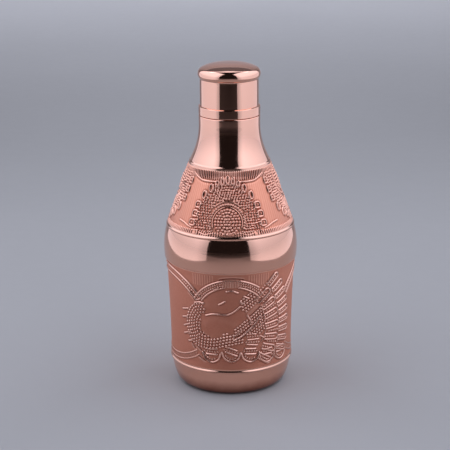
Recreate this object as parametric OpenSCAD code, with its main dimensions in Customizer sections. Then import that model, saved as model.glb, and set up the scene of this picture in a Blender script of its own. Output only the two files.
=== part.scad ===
// Embossed copper water bottle with a screw cap.
// Two drawn shells lap at a brazed seam under the polished band. A threaded collar is
// brazed into the neck. The cap is a domed shell with a rim band, and a threaded ring,
// a backing disc and a sealing washer inside it.
// Millimetres, +Z up, origin at the centre of the underside.
// The embossed relief, mostly under 1 mm and at most 1.7 mm high, is left out of these solids.

/* [Sheet] */
// Thickness of the copper sheet
sheet = 0.7; // [0.5:0.05:0.75]

/* [Lower shell] */
// Radius at which the underside leaves the table
foot_r = 33.5; // [32:0.5:35]
// Height of the ridge that divides the plain base from the embossed wall
base_ridge_z = 20; // [18:0.5:22]
// Wall radius at the base ridge
base_ridge_r = 45; // [44:0.5:46]
// Wall radius at the seam
wall_r = 47.4; // [47:0.1:47.6]
// Height of the hollow under the base
punt_h = 2.5; // [2:0.25:3]

/* [Upper shell] */
// Height of the seam, where the upper shell's lip laps the lower shell
seam_z = 97; // [94:0.5:100]
// Length of lower shell hidden inside the band
lap_h = 14; // [10:0.5:16]
// Radius of the polished band at its lower edge
band_r = 49; // [48.9:0.1:49.3]
// Height of the ridge on top of the band
band_ridge_z = 122.3; // [120:0.1:124]
// Radius of the shell at that ridge
band_ridge_r = 46.6; // [46:0.1:47]
// Height of the ridge at the foot of the neck
neck_ridge_z = 169.3; // [167:0.1:171]
// Radius of the shell at that ridge
neck_ridge_r = 29.5; // [29:0.1:30]
// Outer radius of the neck
neck_r = 22.4; // [22.2:0.1:22.6]
// Height of the neck's flat top
neck_top_z = 203.2; // [201:0.1:205]

/* [Thread] */
// Height gained in one turn of the cap
lead = 6; // [5:0.5:7]
// Depth of the rolled thread
thread_depth = 1.2; // [0.8:0.1:1.2]
// Radial clearance between the two threads
thread_gap = 0.35; // [0.3:0.05:0.4]
// Radius of the collar at the bottom of its thread
thread_root_r = 18.4; // [18.3:0.05:18.5]
// Radius of the mouth
mouth_r = 16.9; // [16:0.1:17]

/* [Cap] */
// Height of the cap
cap_h = 37.5; // [36.5:0.5:39]
// Outer radius of the cap's straight wall
cap_r = 21.3; // [21.2:0.1:21.4]
// Largest radius of the cap's rolled shoulder
cap_bead_r = 22.75; // [22.5:0.05:23]
// Radius of the rim band
rim_band_r = 22.4; // [22.2:0.1:22.6]
// Height of the rim band
rim_band_h = 6.9; // [6:0.1:8]
// Clearance between the closed cap and the neck
parting_gap = 0.3; // [0.2:0.05:0.4]

/* [Hidden] */
$fn = 96;

polished = [0.86, 0.55, 0.43];
satin = [0.70, 0.42, 0.33];
filler = [0.80, 0.66, 0.42];
silicone = [0.88, 0.88, 0.86];

// Ridges: small rounded rings that stand out of a shell
ridge_h = 0.45;
ridge_w = 2.4;

// Neck collar, from the bottom of its spigot to its lip
spigot_r = 18.2;
spigot_h = 8;
collar_flange_r = 19.2;
collar_flange_h = 1;
thread_z0 = neck_top_z + 1.8;
thread_z1 = neck_top_z + 15.3;
lip_z = neck_top_z + 19.3;
lip_round = 0.7;
thread_fade = 2;

// Cap, from its lower edge up
cap_z0 = neck_top_z + parting_gap;
cap_top_z = cap_z0 + cap_h;
cap_bead_round = 4.75;
cap_bead_z = cap_top_z - 7.8;
cap_inner_r = cap_r - sheet;
ring_z0 = neck_top_z + 1.4;
ring_outer_r = cap_inner_r - 0.1;
ring_root_r = thread_root_r + thread_depth + thread_gap;
washer_z0 = lip_z + 0.05;
washer_h = 2.25;
washer_r = 18.75;
washer_bore_r = 13.5;
washer_seat_r = 19.1;
disc_z0 = washer_z0 + washer_h + 0.1;
disc_h = 0.9;

thread_columns = 36;
thread_step = lead / 8;

// Points along an arc, from angle a0 to angle a1
function arc(cx, cz, r, a0, a1, steps = 8) =
    [for (i = [0:steps]) let (a = a0 + (a1 - a0) * i / steps) [cx + r * cos(a), cz + r * sin(a)]];

// Points along a cubic curve with end points p and s and handles q and r
function curve(p, q, r, s, steps = 7) =
    [for (i = [0:steps]) let (t = i / steps, u = 1 - t)
        u * u * u * p + 3 * u * u * t * q + 3 * u * t * t * r + t * t * t * s];

// A small ridge whose foot is centred on [r, z] of a wall that rises along direction dir
function ridge(r, z, dir) =
    [for (i = [0:4]) let (s = i / 4 - 0.5, out = [dir[1], -dir[0]])
        [r, z] + dir * ridge_w * s + out * ridge_h * cos(180 * s)];

// The inner face of a sheet whose outer face is path, walked with the metal on the left
function inner_face(path, t) =
    [for (i = [0:len(path) - 1])
        let (a = path[max(i - 1, 0)], b = path[i], c = path[min(i + 1, len(path) - 1)],
             d0 = i > 0 ? (b - a) / norm(b - a) : (c - b) / norm(c - b),
             d1 = i < len(path) - 1 ? (c - b) / norm(c - b) : d0,
             m = (d0 + d1) / norm(d0 + d1),
             n = [-m[1], m[0]],
             cosine = n * [-d0[1], d0[0]])
        b + n * t / cosine];

function reversed(list) = [for (i = [len(list) - 1:-1:0]) list[i]];

// A sheet of the given thickness, turned about Z, whose outer face is path
module turned_sheet(path, t) {
    rotate_extrude() polygon(concat(path, reversed(inner_face(path, t))));
}

// A plain ring with a rectangular section
module plain_ring(inner_r, outer_r, z, h) {
    rotate_extrude() translate([inner_r, z]) square([outer_r - inner_r, h]);
}

// How much of the thread stands at height z: it runs out to nothing at both ends
function fade(z, z0, z1) = max(0, min(1, (z - z0) / thread_fade, (z1 - z) / thread_fade));

// Height of the thread at height z and angle a, from 0 at its root to 1 at its crest
function crest(z, a) = (1 + cos(360 * z / lead - a)) / 2;

// A ring swept about Z as flat triangles. Each point of the section is [r, z, bump, z0, z1]:
// r at the thread's root, the height of the thread there, and where the thread runs out
module threaded_ring(section, inside) {
    rows = len(section);
    function radius(p, a) = p[0] + p[2] * fade(p[1], p[3], p[4])
        * (inside ? 1 - crest(p[1], a) : crest(p[1], a));
    function corner(c, i) = (c % thread_columns) * rows + i % rows;
    points = [for (c = [0:thread_columns - 1], p = section)
        let (a = 360 * c / thread_columns, r = radius(p, a)) [r * cos(a), r * sin(a), p[1]]];
    faces = [for (c = [0:thread_columns - 1], i = [0:rows - 1], half = [0, 1])
        half == 0 ? [corner(c, i), corner(c, i + 1), corner(c + 1, i + 1)]
                  : [corner(c, i), corner(c + 1, i + 1), corner(c + 1, i)]];
    polyhedron(points, faces);
}

// Plain points of a threaded ring's section
function plain(path) = [for (p = path) [p[0], p[1], 0, 0, 1]];

// The threaded stretch of a section, from z0 to z1
function thread_rows(r, bump, z0, z1) =
    [for (z = [z0:thread_step:z1]) [r, z, bump, z0, z1]];

// Outer face of the lower shell, from the centre of the underside to the hidden rim
function lower_path() = concat(
    [[0, punt_h]],
    curve([foot_r - 12, punt_h], [foot_r - 8, punt_h], [foot_r - 7, 0], [foot_r - 4, 0], 5),
    curve([foot_r, 0], [foot_r + 8, 0], [base_ridge_r - 2.6, base_ridge_z * 0.3],
          [base_ridge_r, base_ridge_z - ridge_w / 2 - 0.3]),
    ridge(base_ridge_r + 0.1, base_ridge_z, [0, 1]),
    curve([base_ridge_r + 0.2, base_ridge_z + ridge_w / 2 + 0.3], [base_ridge_r + 0.2, seam_z * 0.52],
          [wall_r - 0.6, seam_z * 0.77], [wall_r, seam_z - 0.5]),
    [[wall_r, seam_z + lap_h]]);

// Outer face of the upper shell, from the lip that laps the lower shell to the neck's inner rim
function upper_path() = concat(
    [[wall_r, seam_z]],
    arc(band_r - 0.8, seam_z + 0.8, 0.8, -90, 0, 4),
    curve([band_r, seam_z + 1.2], [band_r + 0.6, seam_z + 7], [band_r + 0.8, band_ridge_z - 10],
          [band_ridge_r + 0.4, band_ridge_z - ridge_w / 2 - 0.3]),
    ridge(band_ridge_r, band_ridge_z, [-0.2, 0.98]),
    curve([band_ridge_r - 0.4, band_ridge_z + ridge_w / 2 + 0.3], [band_ridge_r - 2.6, band_ridge_z + 10.7],
          [neck_ridge_r + 5.4, neck_ridge_z - 14],
          [neck_ridge_r + 0.5, neck_ridge_z - ridge_w / 2 - 0.3]),
    ridge(neck_ridge_r - 0.1, neck_ridge_z, [-0.37, 0.93]),
    curve([neck_ridge_r - 0.7, neck_ridge_z + ridge_w / 2 + 0.3], [neck_ridge_r - 3.9, neck_ridge_z + 8.7],
          [neck_r, neck_ridge_z + 14.7], [neck_r - 0.1, neck_ridge_z + 27.7]),
    arc(neck_r - 0.8, neck_top_z - 0.8, 0.8, 0, 90, 4),
    arc(spigot_r + 0.85, neck_top_z - 0.8, 0.8, 90, 180, 4),
    [[spigot_r + 0.05, neck_top_z - 3]]);

// Outer face of the cap, from its lower edge to the centre of its top
function cap_path() = concat(
    [[cap_r, cap_z0], [cap_r, cap_bead_z - 4.1]],
    arc(cap_bead_r - cap_bead_round, cap_bead_z, cap_bead_round, -45, 65),
    curve([cap_bead_r - cap_bead_round + 1.55, cap_bead_z + 4.53], [15, cap_top_z - 1.1],
          [9, cap_top_z], [1.5, cap_top_z], 6),
    [[0, cap_top_z]]);

module lower_shell() {
    color(satin) turned_sheet(lower_path(), sheet);
}

module upper_shell() {
    color(polished) turned_sheet(upper_path(), sheet);
}

// Filler that runs round between the lower shell and the band, above the lip
module seam_braze() {
    color(filler) plain_ring(wall_r, band_r - sheet, seam_z + sheet + 0.1, 2.4);
}

// Threaded mouth: a spigot inside the neck, a flange on the neck's top, the thread and a round lip
module neck_collar() {
    section = concat(
        plain([[mouth_r, neck_top_z - spigot_h], [spigot_r, neck_top_z - spigot_h],
               [spigot_r, neck_top_z], [collar_flange_r, neck_top_z],
               [collar_flange_r, neck_top_z + collar_flange_h]]),
        thread_rows(thread_root_r, thread_depth, thread_z0, thread_z1),
        plain(concat(arc(thread_root_r - lip_round, lip_z - lip_round, lip_round, 0, 90, 3),
                     [[mouth_r + 0.3, lip_z], [mouth_r, lip_z - 0.3]])));
    color(polished) threaded_ring(section, false);
}

// Filler in the corner between the neck's rim and the collar's spigot
module neck_braze() {
    color(filler) rotate_extrude()
        polygon([[spigot_r + 0.01, neck_top_z - 3.1], [spigot_r + 0.01, neck_top_z - 5.2],
                 [spigot_r + 0.75, neck_top_z - 3.6], [spigot_r + 0.75, neck_top_z - 3.1]]);
}

module cap_shell() {
    color(polished) turned_sheet(cap_path(), sheet);
}

// Band pressed round the cap's lower edge
module rim_band() {
    path = concat([[cap_r, cap_z0], [rim_band_r - 0.3, cap_z0]],
                  arc(rim_band_r - 0.3, cap_z0 + 0.3, 0.3, -90, 0, 3),
                  arc(rim_band_r - 0.6, cap_z0 + rim_band_h - 0.6, 0.6, 0, 90, 5),
                  [[cap_r, cap_z0 + rim_band_h]]);
    color(polished) rotate_extrude() polygon(path);
}

// Ring inside the cap with the matching thread, and a plain seat for the washer above it
module thread_ring() {
    section = concat(
        plain([[ring_outer_r, disc_z0], [washer_seat_r, disc_z0], [washer_seat_r, washer_z0 - 0.8],
               [ring_root_r, washer_z0 - 1.4]]),
        reversed(thread_rows(ring_root_r, -thread_depth, ring_z0, thread_z1 + 1.8)),
        plain([[ring_outer_r, ring_z0]]));
    color(satin) threaded_ring(section, true);
}

// Disc that closes the ring and backs the washer
module backing_disc() {
    color(satin) translate([0, 0, disc_z0]) cylinder(r = ring_outer_r, h = disc_h);
}

// Solder fillet that holds the disc and the ring in the cap
module cap_solder() {
    z = disc_z0 + disc_h;
    color(filler) rotate_extrude()
        polygon([[cap_inner_r - 1.5, z], [cap_inner_r, z], [cap_inner_r, z + 1.5]]);
}

// Silicone washer that the cap presses on the lip
module seal_washer() {
    color(silicone) plain_ring(washer_bore_r, washer_r, washer_z0, washer_h);
}

lower_shell();
upper_shell();
seam_braze();
neck_collar();
neck_braze();
cap_shell();
rim_band();
thread_ring();
backing_disc();
cap_solder();
seal_washer();
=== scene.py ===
"""Embossed copper water bottle with a screw cap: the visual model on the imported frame.

Two turned shells carry the relief as real geometry: it is painted into a raster of heights and
moves the vertices of a dense lathe mesh. The cap, its band and both threads are finer turned
pieces in place of their CAD nodes. The other CAD nodes stay and get procedural metals or silicone.
Outlines are in millimetres, as in part.scad; meshes, lights and the camera are in metres.
"""
import bmesh
import bpy
import numpy as np
from mathutils import Matrix


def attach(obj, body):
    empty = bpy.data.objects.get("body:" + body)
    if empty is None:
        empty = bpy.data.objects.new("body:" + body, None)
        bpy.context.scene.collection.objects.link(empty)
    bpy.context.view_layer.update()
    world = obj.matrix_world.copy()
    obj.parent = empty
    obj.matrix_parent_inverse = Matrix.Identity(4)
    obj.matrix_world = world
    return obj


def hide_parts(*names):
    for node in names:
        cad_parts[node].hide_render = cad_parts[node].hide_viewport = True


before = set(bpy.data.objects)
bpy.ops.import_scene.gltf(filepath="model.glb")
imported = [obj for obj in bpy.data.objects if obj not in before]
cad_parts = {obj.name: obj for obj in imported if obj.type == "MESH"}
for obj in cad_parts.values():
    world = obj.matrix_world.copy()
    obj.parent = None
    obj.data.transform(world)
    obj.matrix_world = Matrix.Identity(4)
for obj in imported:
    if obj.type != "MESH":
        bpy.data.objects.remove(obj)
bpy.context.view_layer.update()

MM = 0.001
SHEET = 0.7


# Relief: heights in millimetres over an unrolled wall

RASTER_STEP = 0.1
SEED = 7
BEAD_SHIFT = 0.12
BEAD_SPREAD = (0.85, 1.1)

# Where x is squeezed, a real distance takes in more cells in x
SQUEEZE_ROOM = 1.5


class Relief:
    """A raster of heights. x runs round the bottle and repeats, z runs up; both in millimetres."""

    def __init__(self, width, z0, z1, squeeze=None):
        self.columns = round(width / RASTER_STEP)
        self.step_x = width / self.columns
        self.step = RASTER_STEP
        self.z0 = z0
        self.rows = round((z1 - z0) / self.step) + 1
        self.squeeze = squeeze or (lambda z: np.ones_like(z))
        self.ground = np.zeros((self.rows, self.columns))
        self.raised = np.zeros((self.rows, self.columns))
        self.sunk = np.zeros((self.rows, self.columns))
        self.chance = np.random.default_rng(SEED)

    def window(self, x0, x1, z0, z1):
        """The cells of a rectangle, for indexing, and their x and z."""
        c0 = int(np.floor(x0 / self.step_x))
        c1 = int(np.ceil(x1 / self.step_x))
        r0 = max(0, int(np.floor((z0 - self.z0) / self.step)))
        r1 = min(self.rows - 1, int(np.ceil((z1 - self.z0) / self.step)))
        columns = np.arange(c0, c1 + 1)
        rows = np.arange(r0, r1 + 1)
        x, z = np.meshgrid(columns * self.step_x, self.z0 + rows * self.step)
        return np.ix_(rows, columns % self.columns), x, z

    def near(self, points, reach):
        """The cells within reach of a polyline, and their distance from it."""
        p = np.asarray(points, float)
        wide = reach * SQUEEZE_ROOM
        where, x, z = self.window(p[:, 0].min() - wide, p[:, 0].max() + wide,
                                  p[:, 1].min() - wide, p[:, 1].max() + wide)
        s = self.squeeze(z)
        best = np.full(x.shape, np.inf)
        for a, b in zip(p[:-1], p[1:]):
            dx = s * (b[0] - a[0])
            dz = b[1] - a[1]
            ax = s * (x - a[0])
            az = z - a[1]
            t = np.clip((ax * dx + az * dz) / (dx * dx + dz * dz + 1e-9), 0, 1)
            best = np.minimum(best, np.hypot(ax - t * dx, az - t * dz))
        return where, best

    def line(self, points, width, height):
        """A rounded ridge along a polyline."""
        where, d = self.near(points, width / 2)
        shape = height * np.clip(1 - (2 * d / width) ** 2, 0, None)
        self.raised[where] = np.maximum(self.raised[where], shape)

    def groove(self, points, width, depth):
        """A rounded groove along a polyline."""
        where, d = self.near(points, width / 2)
        shape = depth * np.clip(1 - (2 * d / width) ** 2, 0, None)
        self.sunk[where] = np.maximum(self.sunk[where], shape)

    def pillow(self, points, width, height):
        """A broad soft swelling along a polyline, which other work stands on."""
        where, d = self.near(points, width / 2)
        t = np.clip(1 - 2 * d / width, 0, 1)
        shape = height * t * t * (3 - 2 * t)
        self.ground[where] = np.maximum(self.ground[where], shape)

    def bead(self, x, z, radius=0.9, height=0.9):
        """A round punched bead, a little off its place as hand work is."""
        x += self.chance.uniform(-BEAD_SHIFT, BEAD_SHIFT)
        z += self.chance.uniform(-BEAD_SHIFT, BEAD_SHIFT)
        self.line([(x, z), (x, z)], 2 * radius, height * self.chance.uniform(*BEAD_SPREAD))

    def beads(self, points, pitch=2.1, radius=0.9, height=0.8, start=0.0):
        """Beads at even steps along a polyline."""
        for x, z in spaced(points, pitch, start):
            self.bead(x, z, radius, height)

    def heights(self):
        """All the work as one raster of heights."""
        return self.ground + self.raised - self.sunk


def smooth(points, steps=6):
    """A smooth curve through a few points."""
    p = np.asarray(points, float)
    p = np.vstack([2 * p[0] - p[1], p, 2 * p[-1] - p[-2]])
    out = []
    for a, b, c, d in zip(p[:-3], p[1:-2], p[2:-1], p[3:]):
        for i in range(steps):
            t = i / steps
            out.append(0.5 * (2 * b + (c - a) * t + (2 * a - 5 * b + 4 * c - d) * t * t
                              + (3 * b - a - 3 * c + d) * t ** 3))
    out.append(p[-2])
    return np.array(out)


def lengths(p):
    """The way along a polyline to each of its points."""
    return np.concatenate([[0], np.cumsum(np.hypot(*np.diff(p, axis=0).T))])


def spaced(points, pitch, start=0.0):
    """Points at even steps along a polyline."""
    p = np.asarray(points, float)
    along = lengths(p)
    at = np.arange(start, along[-1] + 1e-6, pitch)
    return np.column_stack([np.interp(at, along, p[:, 0]), np.interp(at, along, p[:, 1])])


def beside(points, gap):
    """A polyline that runs beside another, gap to its left."""
    p = np.asarray(points, float)
    d = np.gradient(p, axis=0)
    d /= np.hypot(d[:, 0], d[:, 1])[:, None] + 1e-9
    return p + gap * np.column_stack([-d[:, 1], d[:, 0]])


def between(a, b, share, count=40):
    """A polyline part of the way from one curve to another."""
    ts = np.linspace(0, 1, count)
    rows = []
    for path in (a, b):
        p = np.asarray(path, float)
        along = lengths(p)
        along /= along[-1]
        rows.append(np.column_stack([np.interp(ts, along, p[:, 0]), np.interp(ts, along, p[:, 1])]))
    return rows[0] * (1 - share) + rows[1] * share


def ring_arc(x, z, radius, a0, a1, count=40):
    """An arc round a centre. Angles are in degrees, 0 at the right and 90 at the top."""
    a = np.radians(np.linspace(a0, a1, count))
    return np.column_stack([x + radius * np.cos(a), z + radius * np.sin(a)])


def direction(angle):
    """A unit vector at an angle in degrees."""
    turn = np.radians(angle)
    return np.array([np.cos(turn), np.sin(turn)])


# The lower shell's relief: twice round, a bird panel and a plain arched panel

BODY_PERIOD = 144.5
BODY_Z = (20.0, 97.5)
PANEL_X = -61.25
MEDALLION = (0.5, 59.0)
MEDALLION_R = 26.3
TAIL_CENTRE = np.array([-10.0, 52.0])


def arch_panel(r):
    """Plain panel under a beaded arch band, over a swag."""
    half = np.linspace(-36.9, 36.9, 90)
    arch = np.column_stack([PANEL_X + half, 91.5 - 15.5 * (np.abs(half) / 37) ** 2.6])
    for gap in (-2.3, 2.3):
        r.line(beside(arch, gap), 1.7, 0.75)
    r.pillow(arch, 6.5, 0.25)
    for side in (arch[:18], arch[-18:]):
        r.beads(side, 2.1, 0.8, 0.55)
    for side in (arch[:9], arch[-9:]):
        r.groove(beside(side, -3.5), 1.2, 0.35)
    half = np.linspace(-35, 35, 80)
    swag = np.column_stack([PANEL_X + half, 25.5 + 8.6 * (np.abs(half) / 36) ** 2.8])
    for gap in (-2.0, 2.0):
        r.line(beside(swag, gap), 1.3, 0.42)
    for a, b in zip(spaced(beside(swag, -1.2), 1.7), spaced(beside(swag, 1.2), 1.7)):
        r.line([a, b], 0.7, 0.3)


def medallion(r):
    """Double ring of beads over the bird, with a ribbed block at its top."""
    x, z = MEDALLION
    for radius, a1 in ((27.4, 144), (32.6, 148)):
        r.line(ring_arc(x, z, radius, 101, a1), 1.5, 0.75)
    r.line(ring_arc(x, z, 32.6, 52, 79), 1.5, 0.75)
    r.line(ring_arc(x, z, 27.4, 40, 79), 1.5, 0.75)
    r.line(ring_arc(x, z, 28, -36, 30), 1.0, 0.45)
    for radius in (29.1, 31.0):
        r.beads(ring_arc(x, z, radius, 102, 146), 1.8, 0.78, 0.6)
        r.beads(ring_arc(x, z, radius, 38, 78), 1.8, 0.78, 0.6)
    r.pillow(ring_arc(x, z, 30, 36, 146), 7.5, 0.22)
    for rib in np.arange(-5.3, 5.9, 1.15):
        r.line([(x + rib, z + 27.2), (x + rib, z + 32.2)], 0.8, 0.4)
    r.groove(ring_arc(x, z, 33.9, 76, 104), 1.5, 0.45)
    r.groove([(-30, 80), (-25, 76)], 1.6, 0.45)
    r.line(smooth([(-25, 75.2), (-23.5, 75.6), (-21.5, 77.5)]), 1.4, 0.6)
    for side in (-1, 1):
        for out in np.arange(13, 30, 1.9):
            r.line([(side * out, 86 + out * 0.03), (side * out, 94.5)], 1.0, 0.12)


def inside(x, z, polygon):
    """Whether a point lies inside a closed outline."""
    p = np.asarray(polygon, float)
    q = np.roll(p, -1, axis=0)
    over = (p[:, 1] > z) != (q[:, 1] > z)
    cut = p[:, 0] + (z - p[:, 1]) * (q[:, 0] - p[:, 0]) / (q[:, 1] - p[:, 1] + 1e-12)
    return np.count_nonzero(over & (x < cut)) % 2 == 1


def bird_body(r):
    """Crescent of beads: the bird's breast and belly."""
    outer = smooth([(-21, 73), (-28, 71), (-32, 67), (-34.5, 62), (-35.5, 56), (-35, 50), (-33.3, 45),
                    (-30, 41), (-25, 38.6), (-18, 38), (-11, 38.6), (-4, 40.5), (3, 42), (9, 43)])
    inner = smooth([(-18.5, 69.5), (-18.5, 66.5), (-22, 63), (-23.5, 58), (-23, 53), (-20.5, 49.5),
                    (-16, 47.3), (-11, 47), (-5, 50), (0, 50.5), (6, 49.5), (11, 50)])
    crescent = np.vstack([outer, inner[::-1]])
    r.pillow(between(outer, inner, 0.5), 15, 0.45)
    for k in range(9):
        row = beside(outer, 0.4 + 2.2 * k)
        for x, z in spaced(row, 2.4, (k % 2) * 1.2):
            if inside(x, z, crescent):
                r.bead(x, z)
    r.line(smooth([(-27.5, 72.2), (-24, 73.4), (-20, 73)]), 1.5, 0.7)
    r.groove(smooth([(-22.5, 50.5), (-19.5, 48), (-16, 46.4)]), 1.6, 0.45)
    for a, b in (((-34, 66.3), (-39.5, 65)), ((-34.5, 60), (-40, 58.5)), ((-33, 54.8), (-39, 52)),
                 ((-32.5, 48.5), (-39, 46)), ((-31, 42), (-34.5, 41))):
        r.line([a, b], 1.5, 0.65)
    for a, b in (((-31.3, 40.3), (-28.5, 36.5)), ((-26.3, 38.3), (-17.5, 32)), ((-25.5, 31), (-20, 28))):
        r.groove([a, b], 1.5, 0.5)


def in_medallion(x, z):
    return np.hypot(x - MEDALLION[0], z - MEDALLION[1]) < MEDALLION_R


def bird_back(r):
    """Smooth back with a few chased lines, and the beaded wing with its plain ribbon."""
    for points in ([(-18.5, 63.8), (-14, 65.2), (-9, 65.3), (-3, 65), (2, 67.3), (7, 71.5)],
                   [(-8.5, 73), (-6.5, 74), (-4.5, 75.3)], [(7, 74.5), (9.5, 73.5)],
                   [(2, 48), (4.5, 50.2), (7.5, 52.8)], [(-3, 83), (1, 83.5), (5, 82)],
                   [(12, 64), (14.5, 60), (16, 55)],
                   [(9.5, 79), (12.8, 77.3)], [(-12, 84), (-8.5, 85.3)]):
        r.line(smooth(points), 1.5, 0.75)
    r.pillow(smooth([(-19, 58), (-12, 61), (-4, 60), (2, 58)]), 12, 0.35)
    ribbon = np.array([(12.5, 65.5), (32, 81)])
    r.groove(beside(ribbon, 2.7), 1.2, 0.5)
    r.groove(beside(ribbon, -2.7), 1.2, 0.5)
    r.pillow(ribbon, 5.5, 0.4)
    for k in range(1, 6):
        row = beside(ribbon, 1.6 + 2.15 * k) - (0, 1.5)
        for x, z in spaced(row, 2.15, (k % 2) * 1.07):
            if in_medallion(x, z) and x > 4 + k * 0.6:
                r.bead(x, z)
    for k in range(1, 10):
        row = beside(np.array([(0, 55.8), (32, 81)]), -1.6 - 2.15 * k)
        for x, z in spaced(row, 2.15, (k % 2) * 1.07):
            if in_medallion(x, z) and x > k * 0.7 - 3 and z > 48.5:
                r.bead(x, z)
    r.line(smooth([(2, 45.5), (8, 48.6), (13, 52.5), (18, 57.5), (21.5, 62.5)]), 1.6, 1.25)
    for x, z in ((19, 77), (22, 61), (22, 55.4)):
        r.line(ring_arc(x, z, 1.5, 0, 360, 16), 0.9, 0.6)


def scallop(r, x, z, lean=0.0):
    """One U-shaped feather of the fringe under the bird."""
    lip = smooth([(x - 7, z + 4.5), (x - 5, z), (x, z - 2.6), (x + 5, z - 0.6), (x + 7, z + 4)])
    r.line(lip, 1.6, 0.8)
    r.beads(beside(lip, 2.0)[4:-4], 2.0, 0.78, 0.55)
    r.line([(x - 4, z + 3.6 + lean), (x + 4, z + 3.6 - lean)], 1.6, 0.75)
    r.line([(x - 4, z + 7.6 + lean), (x + 4, z + 7.6 - lean)], 1.6, 0.75)
    r.beads([(x - 5, z + 5.6 + lean), (x + 5, z + 5.6 - lean)], 2.0, 0.72, 0.5)
    r.pillow([(x - 3, z + 2), (x + 3, z + 2)], 9, 0.3)


def feather(r, angle, r0, r1, half_width):
    """One barrel-shaped tail feather, with raised long edges, a round tip and beads along it."""
    way = direction(angle)
    across = np.array([-way[1], way[0]])
    start = TAIL_CENTRE + r0 * way
    end = TAIL_CENTRE + r1 * way
    r.pillow([start, end], 2 * half_width + 1.6, 0.35)
    for side in (-1, 1):
        r.line([start + side * half_width * across * 0.9, end + side * half_width * across], 1.6, 0.8)
    tip = ring_arc(end[0], end[1], half_width, angle - 85, angle + 85, 12)
    r.line(tip, 1.5, 0.75)
    r.beads([start, end], 2.1, 0.8, 0.6)


def tail(r):
    """Two rows of tail feathers that radiate from the bird's back."""
    for angle in (37.5, 26, 14.3, 2, -10.3, -21.5, -33):
        feather(r, angle, 37, 47, 2.3)
        way = direction(angle + 6)
        r.beads([TAIL_CENTRE + 40 * way, TAIL_CENTRE + 52 * way], 2.1, 0.8, 0.6)
    for angle in (41, 33.5, 26, 18, 10.5, 3, -4.5, -12, -19.5):
        feather(r, angle, 50.5, 60, 1.85)
    for a, b in (((12, 45), (21, 44.8)), ((13, 49.5), (19, 49)), ((11.5, 41.5), (20, 40)),
                 ((23, 46.5), (25.5, 45))):
        r.line([a, b], 1.2, 0.58)
    for a, b in (((11, 43.2), (22, 42.2)), ((12, 47.2), (22, 46.8))):
        r.beads([a, b], 2.0, 0.75, 0.5)


def body_relief():
    r = Relief(BODY_PERIOD, *BODY_Z)
    arch_panel(r)
    medallion(r)
    bird_body(r)
    bird_back(r)
    tail(r)
    for x, z, lean in ((-15, 30.2, 0), (0, 31, 1.6), (14.5, 30.2, 0.4), (28.5, 28, 0), (42, 27, 0)):
        scallop(r, x, z, lean)
    return r


# The upper shell's relief: upright and hanging fans of beads in turn, between fluted borders

SHOULDER_R = 40.0
SHOULDER_Z = (120.0, 171.0)
FAN_PERIOD = SHOULDER_R * np.pi
FAN_X = -2.0
HANGING_X = FAN_X + FAN_PERIOD / 2
MIRROR_Z = 291
DOME_Z = 134.0
STROKE_SHARE = 0.3
FIELD_SHIFT = 0.3
TOP_FLUTES = 62
FOOT_FLUTES = 80


def shoulder_squeeze(z):
    """Real width of one unit of x at height z, as the shoulder narrows."""
    radius = np.interp(z, [122, 130, 140, 150, 160, 169], [46.4, 44.6, 41.4, 37.2, 33, 29.7])
    return radius / SHOULDER_R


def petal(r, x, z, wide, tall):
    """One looped petal with a dark middle."""
    a = np.radians(np.linspace(0, 360, 22))
    edge = np.column_stack([x + wide / 2 * np.cos(a), z + tall / 2 * np.sin(a)])
    r.pillow([(x, z - tall / 5), (x, z + tall / 5)], wide + 2.4, 0.5)
    r.line(edge, 1.5, 0.7)
    r.groove([(x, z - tall / 7), (x, z + tall / 7)], 1.0, 0.3)


def block(r, x, z, wide, tall):
    """One square loop at the side of a fan, with a bead inside it."""
    a = np.radians(np.linspace(0, 360, 25))
    c, s = np.cos(a), np.sin(a)
    edge = np.column_stack([x + wide / 2 * np.sign(c) * np.sqrt(np.abs(c)),
                            z + tall / 2 * np.sign(s) * np.sqrt(np.abs(s))])
    r.pillow([(x - wide / 5, z), (x + wide / 5, z)], tall + 2.4, 0.5)
    r.line(edge, 1.5, 0.7)
    r.bead(x, z, 0.85, 0.7)


def dome(r, x, z, turn):
    """Rings of beads under a line, a row of beads and an arc."""
    r.bead(x, z)
    for radius, count in ((2.15, 6), (4.3, 12), (6.4, 18), (8.3, 24)):
        for bead_x, bead_z in ring_arc(x, z, radius, 0, 360 - 360 / count, count):
            r.bead(bead_x, bead_z, 0.95)
    r.line(ring_arc(x, z, 10.0, turn - 22, turn + 202, 60), 0.8, 0.4)
    r.beads(ring_arc(x, z, 11.9, turn - 22, turn + 202, 60), 1.9, 0.85, 0.75)
    r.line(ring_arc(x, z, 13.7, turn + 48, turn + 132), 0.9, 0.5)


def fan(r, x0, up):
    """A fan of beads round a dome. up is 1 for an upright fan, -1 for a hanging one."""
    def height(z):
        return z if up > 0 else MIRROR_Z - z

    dome(r, x0, height(DOME_Z), 0 if up > 0 else 180)
    r.pillow([(x0, height(DOME_Z - 1)), (x0, height(DOME_Z + 1))], 21, 0.8)
    bead_field(r, x0, height)
    for side in (-1, 1):
        for x, z in ((14.0, 156.4), (19.2, 151.4)):
            petal(r, x0 + side * x, height(z), 3.4, 5.4)
        for x, z in ((23.0, 144.4), (24.2, 138.2), (25.4, 131.8)):
            block(r, x0 + side * x, height(z), 4.2, 4.2)
        for x in (18.4, 20.4, 22.4):
            r.line([(x0 + side * x, height(123.9)), (x0 + side * x, height(126.8))], 1.3, 0.55)
    for x, z, tall in ((-9.0, 159.4, 4.0), (-4.6, 161.2, 5.6), (0, 161.8, 5.8), (4.6, 161.2, 5.6),
                       (9.0, 159.4, 4.0)):
        petal(r, x0 + x, height(z), 3.0, tall)
    wave = [(-19, 126), (-14, 124.8), (-9, 126.1), (-4, 124.6), (0, 124.2), (4, 124.6), (8, 126.1),
            (13, 124.8), (18, 126)]
    r.line(smooth([(x0 + x, height(z)) for x, z in wave]), 1.2, 0.5)


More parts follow.
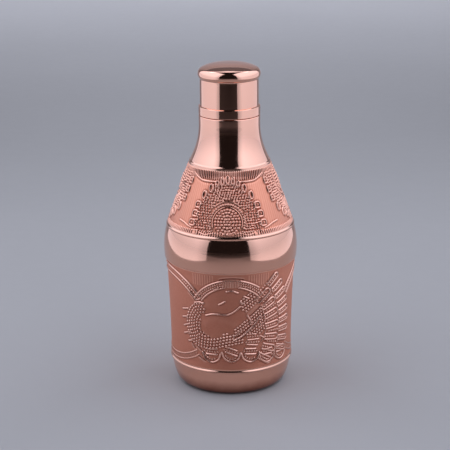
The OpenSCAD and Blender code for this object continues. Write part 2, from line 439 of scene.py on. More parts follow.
def at_dome(out, z):
    """Whether a bead would touch the dome's row of beads, or its arc at the top."""
    return out < 13.0 or (out < 14.6 and z > DOME_Z + 7)


def bead_field(r, x0, height):
    """Close, uneven beads and short strokes that fill the fan round its dome."""
    for row in range(19):
        z = 127.2 + 1.75 * row
        reach = np.interp(z, [126, 134, 140, 146, 150, 156, 160], [23.4, 22.6, 21.6, 19.8, 17, 12, 8])
        pitch = 2.0 / shoulder_squeeze(z)
        for x in np.arange(-reach + (row % 2) * pitch / 2, reach, pitch):
            x += r.chance.uniform(-FIELD_SHIFT, FIELD_SHIFT)
            z_here = z + r.chance.uniform(-FIELD_SHIFT, FIELD_SHIFT)
            real_x = x * shoulder_squeeze(z)
            out = np.hypot(real_x, z_here - DOME_Z)
            if at_dome(out, z_here):
                continue
            if r.chance.uniform() < STROKE_SHARE:
                way = np.array([real_x, z_here - DOME_Z]) / out * 0.75
                r.line([(x0 + x - way[0], height(z_here - way[1])),
                        (x0 + x + way[0], height(z_here + way[1]))], 1.2, 0.8)
            else:
                r.bead(x0 + x, height(z_here), r.chance.uniform(0.78, 0.98), 0.85)


def flutes(r):
    """Fluted borders under the neck and over the band, fine ribs between them, and swags."""
    for x in np.arange(0, FAN_PERIOD, FAN_PERIOD / TOP_FLUTES):
        r.line([(x, 162.3), (x, 167.4)], 1.15, 0.5)
        r.line([(x, 127.0), (x, 162.0)], 1.5, 0.07)
    for x in np.arange(0, FAN_PERIOD, FAN_PERIOD / FOOT_FLUTES):
        r.line([(x, 121.8), (x, 126.6)], 1.2, 0.5)
    for side in (-1, 1):
        swag = smooth([(FAN_X + side * 11, 160.8), (FAN_X + side * 19, 160.7), (FAN_X + side * 26, 161.3),
                       (FAN_X + side * 36, 164.6)])
        r.line(swag, 1.3, 0.55)
        edge = smooth([(FAN_X + side * 25.6, 128.2), (FAN_X + side * 29, 129), (FAN_X + side * 33, 130.4),
                       (FAN_X + side * 38, 131.2)])
        r.line(edge, 1.3, 0.5)
        r.groove(beside(swag, side * -1.2), 1.0, 0.15)


def shoulder_relief():
    r = Relief(FAN_PERIOD, *SHOULDER_Z, shoulder_squeeze)
    flutes(r)
    fan(r, FAN_X, 1)
    fan(r, HANGING_X, -1)
    return r


# Outlines of the turned parts, as (radius, height) in millimetres

RIDGE_WIDTH = 2.4
RIDGE_STEPS = 16
SAME_POINT = 1e-4


def arc(x, z, radius, a0, a1, steps):
    """An arc in so many steps. Angles are in degrees, 0 outwards and 90 up."""
    a = np.radians(np.linspace(a0, a1, steps + 1))
    return np.column_stack([x + radius * np.cos(a), z + radius * np.sin(a)])


def curve(p, q, r, s, step=0.6):
    """A cubic curve, sampled at about even steps."""
    p, q, r, s = (np.array(v, float) for v in (p, q, r, s))
    t = np.linspace(0, 1, 400)[:, None]
    u = 1 - t
    fine = u ** 3 * p + 3 * u * u * t * q + 3 * u * t * t * r + t ** 3 * s
    along = lengths(fine)
    at = np.linspace(0, along[-1], max(2, int(np.ceil(along[-1] / step)) + 1))
    return np.column_stack([np.interp(at, along, fine[:, 0]), np.interp(at, along, fine[:, 1])])


def ridge(radius, z, way, height):
    """A small rounded ridge on a wall that rises along way."""
    s = np.linspace(-0.5, 0.5, RIDGE_STEPS + 1)[:, None]
    way = np.array(way, float)
    out = np.array([way[1], -way[0]])
    swell = np.clip(np.cos(np.pi * s), 0, None) ** 1.3
    return np.array([radius, z]) + way * RIDGE_WIDTH * s + out * height * swell


def straight(a, b, step):
    """A straight run of points, at most step apart."""
    a, b = np.array(a, float), np.array(b, float)
    count = max(2, int(np.ceil(np.hypot(*(b - a)) / step)) + 1)
    return a + (b - a) * np.linspace(0, 1, count)[:, None]


def joined(*runs):
    """Runs of points as one outline, without repeated points."""
    points = np.vstack(runs)
    keep = np.concatenate([[True], np.hypot(*np.diff(points, axis=0).T) > SAME_POINT])
    return points[keep]


def inner_face(path, thickness):
    """The inner face of a sheet whose outer face is path."""
    step = np.diff(path, axis=0)
    step /= np.hypot(step[:, 0], step[:, 1])[:, None]
    before = np.vstack([step[:1], step])
    after = np.vstack([step, step[-1:]])
    middle = before + after
    middle /= np.hypot(middle[:, 0], middle[:, 1])[:, None]
    normal = np.column_stack([-middle[:, 1], middle[:, 0]])
    cosine = (normal * np.column_stack([-before[:, 1], before[:, 0]])).sum(axis=1)
    return path + normal * (thickness / cosine)[:, None]


def thinned(path, step):
    """The same outline with fewer points, at least step apart."""
    kept = [path[0]]
    for point in path[1:-1]:
        if np.hypot(*(point - kept[-1])) >= step and np.hypot(*(point - path[-1])) >= step / 2:
            kept.append(point)
    return np.array(kept + [path[-1]])


def lower_outline():
    wall = curve((45.2, 21.5), (45.2, 50.44), (46.8, 74.69), (47.4, 96.5), 0.3)
    return joined(straight((0, 2.5), (21.5, 2.5), 4),
                  curve((21.5, 2.5), (25.5, 2.5), (26.5, 0), (29.5, 0), 0.8),
                  curve((33.5, 0), (41.5, 0), (42.4, 6), (45, 18.5), 0.8),
                  ridge(45.1, 20, (0, 1), 0.7),
                  wall,
                  straight((47.4, 97), (47.4, 111), 3))


def upper_outline():
    shoulder = curve((46.2, 123.8), (44, 133), (34.9, 155.3), (30, 167.8), 0.28)
    return joined([(47.4, 97)],
                  arc(48.2, 97.8, 0.8, -90, 0, 6),
                  curve((49, 98.2), (49.6, 104), (49.8, 112.3), (47, 120.8), 0.8),
                  ridge(46.6, 122.3, (-0.2, 0.98), 0.65),
                  shoulder,
                  ridge(29.4, 169.3, (-0.37, 0.93), 0.4),
                  curve((28.8, 170.8), (25.6, 178), (22.4, 184), (22.3, 197), 0.9),
                  straight((22.3, 197.5), (22.4, 202), 1.5),
                  arc(21.6, 202.4, 0.8, 0, 90, 6),
                  arc(19.05, 202.4, 0.8, 90, 180, 6),
                  [(18.25, 200.2)])


def cap_outline():
    return joined([(21.3, 203.5)],
                  straight((21.3, 204), (21.3, 229.1), 1.2),
                  arc(18.0, 233.2, 4.75, -45, 65, 26),
                  curve((19.55, 237.73), (15, 239.9), (9, 241), (1.5, 241), 0.8),
                  [(0, 241)])


# Turned meshes

SHELL_COLUMNS = 800
TURN_COLUMNS = 256
THREAD_COLUMNS = 180
MERGE_DISTANCE = 1e-7
LAST_CELL = 1.001


def blurred(h, reach):
    """Heights averaged over a square, as a copy. The raster repeats in x."""
    total = np.zeros_like(h)
    for k in range(-reach, reach + 1):
        total += np.roll(h, k, axis=1)
    out = np.zeros_like(h)
    for k in range(-reach, reach + 1):
        out += np.roll(total, k, axis=0)
    return out / (2 * reach + 1) ** 2


def sampled(raster, relief, x, z):
    """Values of a raster at x, z, blended between its cells. Its end rows go on past its heights."""
    c = (x / relief.step_x) % relief.columns
    r = np.clip((z - relief.z0) / relief.step, 0, relief.rows - LAST_CELL)
    c0, r0 = c.astype(int), r.astype(int)
    fc, fr = c - c0, r - r0
    c1 = (c0 + 1) % relief.columns
    low = raster[r0, c0] * (1 - fc) + raster[r0, c1] * fc
    high = raster[r0 + 1, c0] * (1 - fc) + raster[r0 + 1, c1] * fc
    return low * (1 - fr) + high * fr


def turns(columns):
    """The angle of each column of a turned mesh, in radians."""
    return 2 * np.pi * np.arange(columns) / columns


def turned(name, outline, columns, closed, shape=None, marks=None):
    """A closed mesh turned about Z. shape changes the radii and heights, which are arrays of
    (rows, columns), and marks are point attributes of that size. An open outline ends on the
    axis."""
    rows = len(outline)
    turn = turns(columns)
    r = np.repeat(outline[:, :1], columns, axis=1)
    z = np.repeat(outline[:, 1:], columns, axis=1)
    if shape is not None:
        r, z = shape(r, z)
    points = np.stack([r * np.sin(turn), -r * np.cos(turn), z], axis=-1).reshape(-1, 3) * MM
    c = np.arange(columns)
    last = rows if closed else rows - 1
    i = np.arange(last)[:, None]
    a = i * columns + c
    b = i * columns + (c + 1) % columns
    d = ((i + 1) % rows) * columns + c
    e = ((i + 1) % rows) * columns + (c + 1) % columns
    faces = np.stack([a, b, e, d], axis=-1).reshape(-1, 4)
    mesh = bpy.data.meshes.new(name)
    mesh.from_pydata(points.tolist(), [], faces.tolist())
    for mark, values in (marks or {}).items():
        layer = mesh.attributes.new(mark, "FLOAT", "POINT")
        layer.data.foreach_set("value", values.astype(np.float32).ravel())
    obj = bpy.data.objects.new(name, mesh)
    bpy.context.scene.collection.objects.link(obj)
    if not closed:
        close_ends(obj, columns)
    mesh.polygons.foreach_set("use_smooth", np.ones(len(mesh.polygons), bool))
    mesh.update()
    return obj


def close_ends(obj, columns):
    """Joins the first and the last row, which both lie on the axis, into single points."""
    work = bmesh.new()
    work.from_mesh(obj.data)
    work.verts.ensure_lookup_table()
    count = len(work.verts)
    ends = list(work.verts[:columns]) + list(work.verts[count - columns:])
    bmesh.ops.remove_doubles(work, verts=ends, dist=MERGE_DISTANCE)
    work.to_mesh(obj.data)
    work.free()


# Materials

COPPER = (0.90, 0.475, 0.345)
# Colour of painted shade, used near the foot and in the recesses of the relief.
COPPER_SHADE = (0.27, 0.070, 0.042)
COPPER_WARM = (0.89, 0.463, 0.333)
MIRROR_ROUGHNESS = (0.07, 0.12)
# Painted shade near the foot: how dark it is, and the heights in metres over which it fades out upwards.
FOOT_SHADE = 0.95
FOOT_SHADE_HEIGHT = (0.002, 0.012)
# Painted shade in the recesses: the span of recess depth, in millimetres, over which the satin darkens.
RECESS_SHADE_SPAN = (0.02, 0.28)
HIGH_SPAN = (0.0, 0.16)
# High points are rubbed, and their colour is raised a little over the plain copper as painted highlight.
RUBBED_AND_HIGHLIGHT = 0.95
RUBBED_SHINE = 0.46
# The lower shell's satin tones are darker than the upper shell's for the same copper: painted shade.
LOWER_FINISH = {
    "light": (0.73, 0.303, 0.198),
    "dark": (0.67, 0.268, 0.173),
    "rubbed_and_highlight_copper": (0.94, 0.51, 0.385),
    "grain": (0.60, 0.72),
    # depth: how far the painted shade in the recesses darkens the satin.
    "depth": 0.74,
}
UPPER_FINISH = {
    "light": (0.84, 0.32, 0.20),
    "dark": (0.77, 0.287, 0.178),
    "rubbed_and_highlight_copper": (0.95, 0.475, 0.345),
    "grain": (0.38, 0.48),
    # depth: how far the painted shade in the recesses darkens the satin.
    "depth": 1.0,
}


class Nodes:
    """A material's nodes, made one statement at a time."""

    def __init__(self, name):
        self.material = bpy.data.materials.new(name)
        self.material.use_nodes = True
        self.tree = self.material.node_tree
        self.shader = self.tree.nodes["Principled BSDF"]
        self.place = self.tree.nodes.new("ShaderNodeTexCoord").outputs["Object"]

    def link(self, a, b):
        self.tree.links.new(a, b)

    def noise(self, scale, detail=3.0, rough=0.5, stretch=None):
        node = self.tree.nodes.new("ShaderNodeTexNoise")
        node.inputs["Scale"].default_value = scale
        node.inputs["Detail"].default_value = detail
        node.inputs["Roughness"].default_value = rough
        source = self.place
        if stretch:
            mapping = self.tree.nodes.new("ShaderNodeMapping")
            mapping.inputs["Scale"].default_value = stretch
            self.link(self.place, mapping.inputs["Vector"])
            source = mapping.outputs["Vector"]
        self.link(source, node.inputs["Vector"])
        return node.outputs["Fac"]

    def height(self):
        """Height in the frame, in metres."""
        node = self.tree.nodes.new("ShaderNodeSeparateXYZ")
        self.link(self.place, node.inputs[0])
        return node.outputs["Z"]

    def mark(self, name):
        """A point attribute that came with the mesh."""
        node = self.tree.nodes.new("ShaderNodeAttribute")
        node.attribute_name = name
        return node.outputs["Fac"]

    def remap(self, value, a0, a1, b0, b1):
        """Takes a0 to b0 and a1 to b1, and stays between them."""
        node = self.tree.nodes.new("ShaderNodeMapRange")
        node.clamp = True
        self.link(value, node.inputs["Value"])
        for socket, number in zip(("From Min", "From Max", "To Min", "To Max"), (a0, a1, b0, b1)):
            node.inputs[socket].default_value = number
        return node.outputs["Result"]

    def math(self, a, b, operation="ADD"):
        """The sum of two values, or another operation on them."""
        node = self.tree.nodes.new("ShaderNodeMath")
        node.operation = operation
        for socket, value in zip(node.inputs, (a, b)):
            if isinstance(value, (int, float)):
                socket.default_value = value
            else:
                self.link(value, socket)
        return node.outputs["Value"]

    def mix(self, factor, a, b):
        node = self.tree.nodes.new("ShaderNodeMix")
        node.data_type = "RGBA"
        if isinstance(factor, float):
            node.inputs[0].default_value = factor
        else:
            self.link(factor, node.inputs[0])
        for socket, value in ((node.inputs[6], a), (node.inputs[7], b)):
            if isinstance(value, tuple):
                socket.default_value = (*value, 1.0)
            else:
                self.link(value, socket)
        return node.outputs[2]

    def bump(self, height, distance, strength=1.0, under=None):
        node = self.tree.nodes.new("ShaderNodeBump")
        node.inputs["Distance"].default_value = distance
        node.inputs["Strength"].default_value = strength
        self.link(height, node.inputs["Height"])
        if under is not None:
            self.link(under, node.inputs["Normal"])
        return node.outputs["Normal"]

    def into(self, value, socket):
        self.link(value, self.shader.inputs[socket])

    def two_tones(self, noise, low, high, a, b):
        """Base colour in soft patches of two tones."""
        tone = self.remap(self.noise(*noise), low, high, 0.0, 1.0)
        self.into(self.mix(tone, a, b), "Base Color")

    def grain(self, scale, smoothest, roughest):
        """Roughness in a fine grain."""
        return self.remap(self.noise(scale, 3, 0.6), 0.3, 0.7, smoothest, roughest)


def polish(n):
    """Roughness of hand-polished copper: nearly even, with faint smudges and rub marks."""
    smudge = n.remap(n.noise(38, 4, 0.6), 0.45, 0.75, *MIRROR_ROUGHNESS)
    rubs = n.remap(n.noise(900, 2, 0.5, (1, 1, 0.05)), 0.35, 0.8, 0.0, 0.03)
    return n.math(smudge, rubs)


def hand_waves(n):
    """The slight unevenness of a wall that was raised by hand."""
    return n.bump(n.noise(45, 1, 0.4), 0.00012)


def polished_copper():
    """Mirror finish of the neck, the band and the cap."""
    n = Nodes("polished_copper")
    n.shader.inputs["Metallic"].default_value = 1.0
    n.two_tones((24, 4, 0.6), 0.35, 0.7, COPPER, COPPER_WARM)
    n.into(polish(n), "Roughness")
    rubs = n.noise(1400, 2, 0.5, (1, 1, 0.04))
    n.into(n.bump(rubs, 0.0000012, under=hand_waves(n)), "Normal")
    return n.material


def foot_shaded_copper(n):
    """Colour of the plain wall: bright copper with painted shade near the foot, which stands for the
    shadowed floor that the foot reflects.
    """
    tone = n.remap(n.noise(30, 4, 0.6), 0.35, 0.7, 0.0, 1.0)
    shade_height = n.math(n.height(), n.remap(n.noise(90, 4, 0.6), 0.3, 0.7, -0.001, 0.001))
    # Painted shade: darker towards the foot, in place of the shadowed floor that it reflects.
    foot_shade = n.remap(shade_height, *FOOT_SHADE_HEIGHT, FOOT_SHADE, 0.0)
    return n.mix(foot_shade, n.mix(tone, COPPER, COPPER_WARM), COPPER_SHADE)


def embossed_copper(name, light, dark, rubbed_and_highlight_copper, grain, depth):
    """One finish for a whole shell: mirror copper where plain, with painted shade near the foot, and
    satin in the embossed field, with painted shade in the recesses and rubbed high points whose colour is
    raised a little as painted highlight. The marks come with the mesh."""
    n = Nodes(name)
    n.shader.inputs["Metallic"].default_value = 1.0
    satin = n.mark("satin")
    # Painted shade in the recesses of the relief.
    hollow = n.remap(n.mark("hollow"), *RECESS_SHADE_SPAN, 0.0, depth)
    # Rubbed high points: bright copper, partly a painted highlight.
    high = n.remap(n.mark("high"), *HIGH_SPAN, 0.0, RUBBED_AND_HIGHLIGHT)
    matt = n.mix(n.remap(n.noise(60, 5, 0.65), 0.3, 0.75, 0.0, 0.5), light, dark)
    field = n.mix(high, n.mix(hollow, matt, COPPER_SHADE), rubbed_and_highlight_copper)
    n.into(n.mix(satin, foot_shaded_copper(n), field), "Base Color")
    rubbed = n.math(n.grain(700, *grain), n.math(high, RUBBED_SHINE, "MULTIPLY"), "SUBTRACT")
    shiny = polish(n)
    both = n.math(shiny, n.math(satin, n.math(rubbed, shiny, "SUBTRACT"), "MULTIPLY"))
    n.into(both, "Roughness")
    pitted = n.math(n.noise(1500, 3, 0.6), satin, "MULTIPLY")
    n.into(n.bump(pitted, 0.00004, under=hand_waves(n)), "Normal")
    return n.material


def turned_copper():
    """Collar, thread ring and disc: cut copper with fine rings from the tool."""
    n = Nodes("turned_copper")
    n.shader.inputs["Metallic"].default_value = 1.0
    n.two_tones((120, 4, 0.6), 0.35, 0.7, (0.88, 0.53, 0.41), (0.74, 0.42, 0.31))
    n.into(n.grain(400, 0.16, 0.28), "Roughness")
    n.into(n.bump(n.noise(30, 2, 0.5, (1, 1, 220)), 0.00003), "Normal")
    return n.material


def filler_metal():
    """Silver-brass filler with a grainy, slightly flowed skin."""
    n = Nodes("filler_metal")
    n.shader.inputs["Metallic"].default_value = 1.0
    n.two_tones((500, 4, 0.6), 0.35, 0.7, (0.80, 0.66, 0.42), (0.62, 0.46, 0.27))
    n.into(n.grain(800, 0.28, 0.48), "Roughness")
    n.into(n.bump(n.noise(600, 4, 0.6), 0.00012), "Normal")
    return n.material


def silicone():
    """Milky food-safe silicone with a fine matt skin and a little dust."""
    n = Nodes("seal_silicone")
    n.shader.inputs["Subsurface Weight"].default_value = 0.25
    n.shader.inputs["Subsurface Radius"].default_value = (0.004, 0.003, 0.003)
    n.two_tones((250, 4, 0.6), 0.4, 0.75, (0.78, 0.78, 0.76), (0.66, 0.65, 0.62))
    n.into(n.grain(900, 0.45, 0.6), "Roughness")
    n.into(n.bump(n.noise(2200, 2, 0.5), 0.00002), "Normal")
    return n.material


def paper():
    """Seamless grey paper of the floor."""
    n = Nodes("studio_paper")
    n.shader.inputs["Specular IOR Level"].default_value = 0.25
    n.two_tones((3, 3, 0.5), 0.3, 0.7, (0.455, 0.412, 0.386), (0.470, 0.426, 0.399))
    n.into(n.grain(60, 0.55, 0.62), "Roughness")
    return n.material


def reflected_shade_paper():
    """Dark grey card that lies before the bottle, seen only in reflections: painted shade in the mirror
    faces.
    """
    n = Nodes("reflected_shade_paper")
    n.shader.inputs["Specular IOR Level"].default_value = 0.1
    n.two_tones((8, 3, 0.5), 0.3, 0.7, (0.15, 0.135, 0.127), (0.175, 0.157, 0.148))
    n.into(n.grain(60, 0.7, 0.8), "Roughness")
    return n.material


# Pieces

BODY_R = 46.0
BODY_FIELD = (21.6, 96.2)
SHOULDER_FIELD = (123.7, 168.0)
FIELD_FADE = 0.8
# Reach of the blur that finds the high points, which are rubbed, and the recesses, which get painted
# shade.
WEAR_AND_SHADE_CELLS = 12
INNER_STEP = 2.2

# How far each field lies inside the CAD wall, and how much further its inner face goes in
BODY_SINK = 0.25
SHOULDER_SINK = 0.9
SINK_FADE = 4.0
BACK_DEPTH = 0.4


def within(z, z0, z1, fade=FIELD_FADE):
    """1 between two heights, 0 outside them."""
    return np.clip((z - z0) / fade, 0, 1) * np.clip((z1 - z) / fade, 0, 1)


def outward(outline):
    """Unit vectors that point away from the sheet, for each point of its outline."""
    way = np.gradient(outline, axis=0)
    way /= np.hypot(way[:, 0], way[:, 1])[:, None]
    return np.column_stack([way[:, 1], -way[:, 0]])


def embossed_shell(name, path, closed, relief, unit_r, span, sink, material):
    """A turned sheet whose outer face carries a relief between two heights. The ground between
    the motifs lies inside the CAD outline, and the highest tops stand a little outside it."""
    outline = joined(path, inner_face(thinned(path, INNER_STEP), SHEET)[::-1])
    heights = relief.heights()
    # Relief above or below its surroundings: rubbed high points, and painted shade in the recesses.
    wear_and_shade = heights - blurred(heights, WEAR_AND_SHADE_CELLS)
    on_path = np.zeros(len(outline), bool)
    on_path[:len(path)] = True
    normal = outward(outline)
    z = np.repeat(outline[:, 1:], SHELL_COLUMNS, axis=1)
    x = np.repeat((unit_r * turns(SHELL_COLUMNS))[None, :], len(outline), axis=0)
    field = within(z, *span) * on_path[:, None]
    pressed = within(z, *span, SINK_FADE) * np.where(on_path[:, None], -sink, sink + BACK_DEPTH)
    lift = sampled(heights, relief, x, z) * field + pressed
    edge = sampled(wear_and_shade, relief, x, z) * field

    def shape(r, z):
        return r + normal[:, :1] * lift, z + normal[:, 1:] * lift

    # Marks for the material: the embossed field, the rubbed high points, and the recesses where it paints
    # shade.
    marks = {"satin": field, "high": np.clip(edge, 0, None), "hollow": np.clip(-edge, 0, None)}
    piece = turned(name, outline, SHELL_COLUMNS, closed, shape, marks)
    piece.data.materials.append(material)
    return piece


def finish_piece(piece, node, body, material=None):
    if material is not None:
        piece.data.materials.append(material)
    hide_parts(node)
    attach(piece, body)


def shells():
    # The lower shell's finish has darker satin as painted shade.
    satin = embossed_copper("embossed_copper_lower_shaded", **LOWER_FINISH)
    lower = embossed_shell("lower_shell_embossed", lower_outline(), False, body_relief(), BODY_R,
                           BODY_FIELD, BODY_SINK, satin)
    finish_piece(lower, "lower_shell", "bottle")
    glossy = embossed_copper("embossed_copper_upper", **UPPER_FINISH)
    upper = embossed_shell("upper_shell_embossed", upper_outline(), True, shoulder_relief(), SHOULDER_R,
                           SHOULDER_FIELD, SHOULDER_SINK, glossy)
    finish_piece(upper, "upper_shell", "bottle")


def cap(material):
    path = cap_outline()
    outline = joined(path[::-1], inner_face(path, SHEET))
    piece = turned("cap_shell_turned", outline, TURN_COLUMNS, False)
    finish_piece(piece, "cap_shell", "cap", material)


def band(material):
    outline = joined([(21.3, 203.5)],
                     straight((21.45, 203.5), (22.1, 203.5), 0.3),
                     arc(22.1, 203.8, 0.3, -90, 0, 6),
                     straight((22.4, 204.2), (22.4, 209.3), 0.6),
                     arc(22.0, 209.5, 0.4, 0, 60, 6),
                     straight((22.1, 209.9), (21.45, 210.25), 0.2),
                     arc(21.4, 210.15, 0.1, 62, 150, 3),
                     straight((21.3, 210), (21.3, 204), 1.2))
    piece = turned("rim_band_turned", outline, TURN_COLUMNS, True)
    finish_piece(piece, "rim_band", "cap", material)


# Threads: one right-hand start that runs out to nothing at both ends

LEAD = 6.0
THREAD_DEPTH = 1.2
THREAD_FADE = 2.0
THREAD_STEP = 0.25
COLLAR_ROOT = 18.4
COLLAR_THREAD = (205.0, 218.5)
RING_ROOT = 19.95
RING_THREAD = (204.6, 220.3)
AT_ROOT = 1e-6


def thread_height(z, turn, z0, z1):
    """How far the thread has faded in, and how near its crest a point is."""
    fade = np.clip(np.minimum((z - z0) / THREAD_FADE, (z1 - z) / THREAD_FADE), 0, 1)
    return fade, (1 + np.cos(2 * np.pi * z / LEAD - turn)) / 2


def threaded(name, outline, z0, z1, root, inside):
    """A turned ring with a thread on the stretch of its outline that lies at the root radius."""
    at_root = np.abs(outline[:, :1] - root) < AT_ROOT
    at_root = at_root & (outline[:, 1:] >= z0) & (outline[:, 1:] <= z1)
    turn = turns(THREAD_COLUMNS) - np.pi / 2

    def shape(r, z):
        fade, crest = thread_height(z, turn, z0, z1)
        if inside:
            return r - at_root * THREAD_DEPTH * fade * (1 - crest), z
        return r + at_root * THREAD_DEPTH * fade * crest, z

    return turned(name, outline, THREAD_COLUMNS, True, shape)


def collar(material):
    z0, z1 = COLLAR_THREAD
    root = COLLAR_ROOT
    outline = joined([(16.9, 195.2)],
                     straight((17.2, 195.2), (17.9, 195.2), 0.4),
                     arc(17.9, 195.5, 0.3, -90, 0, 4),
                     straight((18.2, 196), (18.2, 203.2), 1.2),
                     straight((18.5, 203.2), (18.9, 203.2), 0.3),
                     arc(18.9, 203.5, 0.3, -90, 0, 4),
                     arc(18.9, 203.9, 0.3, 0, 90, 4),
                     [(18.5, 204.2)],
                     straight((root, 204.4), (root, z0), 0.3),
                     straight((root, z0), (root, z1), THREAD_STEP),
                     straight((root, z1), (root, 221.8), 0.8),
                     arc(17.7, 221.8, 0.7, 0, 90, 8),
                     arc(17.3, 222.1, 0.4, 90, 180, 5),
                     straight((16.9, 221.5), (16.9, 196), 1.5))
    piece = threaded("neck_collar_threaded", outline, z0, z1, root, False)
    finish_piece(piece, "neck_collar", "bottle", material)


def ring(material):
    z0, z1 = RING_THREAD
    root = RING_ROOT
    outline = joined([(20.5, 224.9)],
                     straight((20.1, 224.9), (19.1, 224.9), 0.5),
                     straight((19.1, 224.7), (19.1, 221.75), 1),
                     [(root, 221.15)],
                     straight((root, z1), (root, z0), THREAD_STEP),
                     straight((20.2, z0), (20.5, z0), 0.3),
                     straight((20.5, 205), (20.5, 224.5), 1.5))
    piece = threaded("thread_ring_threaded", outline, z0, z1, root, True)
    finish_piece(piece, "thread_ring", "cap", material)


def carried_over(copper):
    """CAD nodes whose shape is right keep it and get a procedural finish."""
    filler = filler_metal()
    finishes = {
        "backing_disc": copper,
        "seal_washer": silicone(),
        "seam_braze": filler,
        "neck_braze": filler,
        "cap_solder": filler,
    }
    for node, material in finishes.items():
        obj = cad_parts[node]
        obj.data.materials.clear()
        obj.data.materials.append(material)


# Floor, light and camera

FLOOR_FRONT = -2.4
FLOOR_BACK = 2.6
FLOOR_BEND = 1.2
FLOOR_TOP = 3.2
FLOOR_HALF = 4
CARD_Z = 0.002
CARD_Y = (-1.4, -0.64)
CARD_X = (-0.8, 0.8)
CAMERA_BACK = 1.0337
CAMERA_UP = 0.4283
CAMERA_PITCH = 16.65
CAMERA_YAW = 0.216
CAMERA_ROLL = 0.51
LENS = 116.6
SENSOR_WIDTH = 36.0
NEAREST = 0.05
PARALLEL = 0.99
COOL_WHITE = (0.85, 0.97, 1.2)
WORLD_GREY = (0.012, 0.011, 0.012, 1)
WALL_HEIGHT = 1.35
WALL_LEAN = 8.0
WALL_HINGE = 0.08
WALL_FOOT = 0.27
WALL_BACK_RADIANCE = 0.7
WALL_EDGE = 0.16
WALL_EDGE_LEVEL = 0.6
WALL_RISE = (0.14, 0.44)
WALL_LEVELS = (0.80, 1.56)


def floor():
    """A sweep of seamless paper: flat under the bottle, then curving up behind it."""
    a = np.radians(np.linspace(0, 90, 13))
    side = [(FLOOR_FRONT, 0.0)]
    side += [(FLOOR_BACK + FLOOR_BEND * np.sin(t), FLOOR_BEND * (1 - np.cos(t))) for t in a]
    side.append((FLOOR_BACK + FLOOR_BEND, FLOOR_TOP))
    points = []
    for y, z in side:
        points += [(-FLOOR_HALF, y, z), (FLOOR_HALF, y, z)]
    smooth_sheet("studio_floor", points, paper())


def reflected_shade_card():
    """A dark card on the floor before the bottle, out of frame. Only mirrors see it, and it casts no
    shadow: it puts painted shade into the reflections.
    """
    edge = [(x, y, CARD_Z) for y in CARD_Y for x in CARD_X]
    obj = smooth_sheet("reflected_shade_card", edge, reflected_shade_paper())
    obj.visible_camera = False
    obj.visible_diffuse = False
    obj.visible_shadow = False


def smooth_sheet(name, points, material):
    """A sheet that runs through pairs of points."""
    faces = [(i, i + 1, i + 3, i + 2) for i in range(0, len(points) - 2, 2)]
    mesh = bpy.data.meshes.new(name)
    mesh.from_pydata(points, [], faces)
    obj = bpy.data.objects.new(name, mesh)
    bpy.context.scene.collection.objects.link(obj)
    mesh.polygons.foreach_set("use_smooth", np.ones(len(mesh.polygons), bool))
    obj.data.materials.append(material)
    return obj


def soften(light):
    """Fades a wall panel towards its upright edges, and brightens it up its height."""
    light.use_nodes = True
    tree = light.node_tree
    emission = tree.nodes["Emission"]
    place = tree.nodes.new("ShaderNodeNewGeometry").outputs["Parametric"]
    split = tree.nodes.new("ShaderNodeSeparateXYZ")
    tree.links.new(place, split.inputs[0])
    parts = []
    for output, a0, a1, b0, b1 in (("X", 0.0, WALL_EDGE, WALL_EDGE_LEVEL, 1.0),
                                   ("X", 1.0, 1.0 - WALL_EDGE, WALL_EDGE_LEVEL, 1.0),
                                   ("Y", *WALL_RISE, *WALL_LEVELS)):
        node = tree.nodes.new("ShaderNodeMapRange")
        node.interpolation_type = "SMOOTHSTEP"
        tree.links.new(split.outputs[output], node.inputs["Value"])
        for socket, number in zip(("From Min", "From Max", "To Min", "To Max"), (a0, a1, b0, b1)):
            node.inputs[socket].default_value = number
        parts.append(node.outputs["Result"])
    strength = parts[0]
    for part in parts[1:]:
        product = tree.nodes.new("ShaderNodeMath")
        product.operation = "MULTIPLY"
        tree.links.new(strength, product.inputs[0])
        tree.links.new(part, product.inputs[1])
        strength = product.outputs[0]
    tree.links.new(strength, emission.inputs["Strength"])


def panel(name, centre, facing, size, radiance, up=(0, 0, 1)):
    """A soft box, as an area light that the camera itself doesn't see."""
    light = bpy.data.lights.new(name, "AREA")
    light.shape = "RECTANGLE"
    light.size, light.size_y = size
    light.energy = radiance * np.pi * size[0] * size[1]
    light.color = COOL_WHITE
    obj = bpy.data.objects.new(name, light)
    bpy.context.scene.collection.objects.link(obj)
    z = -np.array(facing, float)
    z /= np.linalg.norm(z)
    x = np.cross(up, z) if abs(z @ np.array(up)) < PARALLEL else np.array([1.0, 0, 0])
    x /= np.linalg.norm(x)
    y = np.cross(z, x)
    turn = Matrix((x, y, z)).transposed().to_4x4()
    obj.matrix_world = Matrix.Translation(centre) @ turn
    obj.visible_camera = False
    return obj


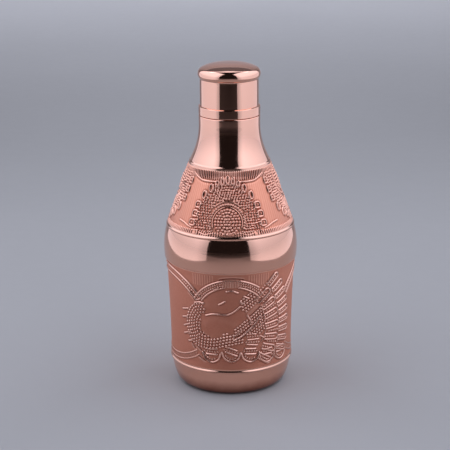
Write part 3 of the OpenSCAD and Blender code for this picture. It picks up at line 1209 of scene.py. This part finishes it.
def wall_panel(name, x0, y0, x1, y1):
    """A tall soft box over a line on the floor from its inner end to its outer end. It leans
    towards the other one, and its foot is below the floor."""
    inner = np.array([x0, y0, 0.0])
    along = np.array([x1 - x0, y1 - y0, 0.0])
    wide = np.linalg.norm(along)
    along /= wide
    facing = np.array([-along[1], along[0], 0.0])
    if facing @ (inner + wide / 2 * along) > 0:
        facing = -facing
    lean = np.radians(WALL_LEAN)
    rise = np.array([0, 0, np.cos(lean)]) - np.sin(lean) * along
    across = np.cos(lean) * along + np.array([0, 0, np.sin(lean)])
    middle = inner + (0, 0, WALL_HINGE) + (WALL_HEIGHT / 2 - WALL_FOOT) * rise + wide / 2 * across
    obj = panel(name, middle, facing, (wide, WALL_HEIGHT), 1.0, rise)
    soften(obj.data)
    back = panel(name + "_back", middle, -facing, (wide, WALL_HEIGHT), WALL_BACK_RADIANCE, rise)
    back.visible_glossy = False


def lights():
    """Two walls give the long highlights; the rest lights the floor and the upward faces."""
    wall_panel("soft_box_left", -0.268, -0.34, -0.55, 0.62)
    wall_panel("soft_box_right", 0.243, -0.40, 0.55, 0.62)
    panel("overhead", (0, 0.43, 1.25), (0, -0.1, -1), (1.5, 0.28), 1.3)
    panel("ceiling", (0, 2.6, 2.6), (0, 0.1, -1), (5.0, 3.4), 0.16)
    panel("backdrop_light", (0, 1.7, 2.4), (0, 1.0, -0.75), (4.0, 1.2), 4.3)
    far = panel("far_floor_light", (0, 2.4, 1.1), (0, 0, -1), (4.0, 0.8), 1.25)
    far.visible_glossy = False
    near = panel("floor_light", (0, -0.58, 0.55), (0, 0, -1), (0.9, 0.25), 1.6)
    near.visible_glossy = False
    world = bpy.data.worlds.new("studio_dark")
    world.use_nodes = True
    world.node_tree.nodes["Background"].inputs["Color"].default_value = WORLD_GREY
    bpy.context.scene.world = world


def camera():
    """The pinhole camera that was fitted to the photo's silhouette."""
    data = bpy.data.cameras.new("camera")
    data.lens = LENS
    data.sensor_width = SENSOR_WIDTH
    data.clip_start = NEAREST
    obj = bpy.data.objects.new("camera", data)
    bpy.context.scene.collection.objects.link(obj)
    turn = Matrix.Rotation(np.radians(CAMERA_YAW), 4, "Z")
    turn = turn @ Matrix.Rotation(np.radians(90 - CAMERA_PITCH), 4, "X")
    turn = turn @ Matrix.Rotation(np.radians(-CAMERA_ROLL), 4, "Z")
    obj.matrix_world = Matrix.Translation((0, -CAMERA_BACK, CAMERA_UP)) @ turn
    bpy.context.scene.camera = obj


# The scene

shells()
mirror = polished_copper()
cap(mirror)
band(mirror)
tooled = turned_copper()
collar(tooled)
ring(tooled)
carried_over(tooled)
floor()
reflected_shade_card()
lights()
camera()
bpy.context.scene.view_settings.view_transform = "Standard"
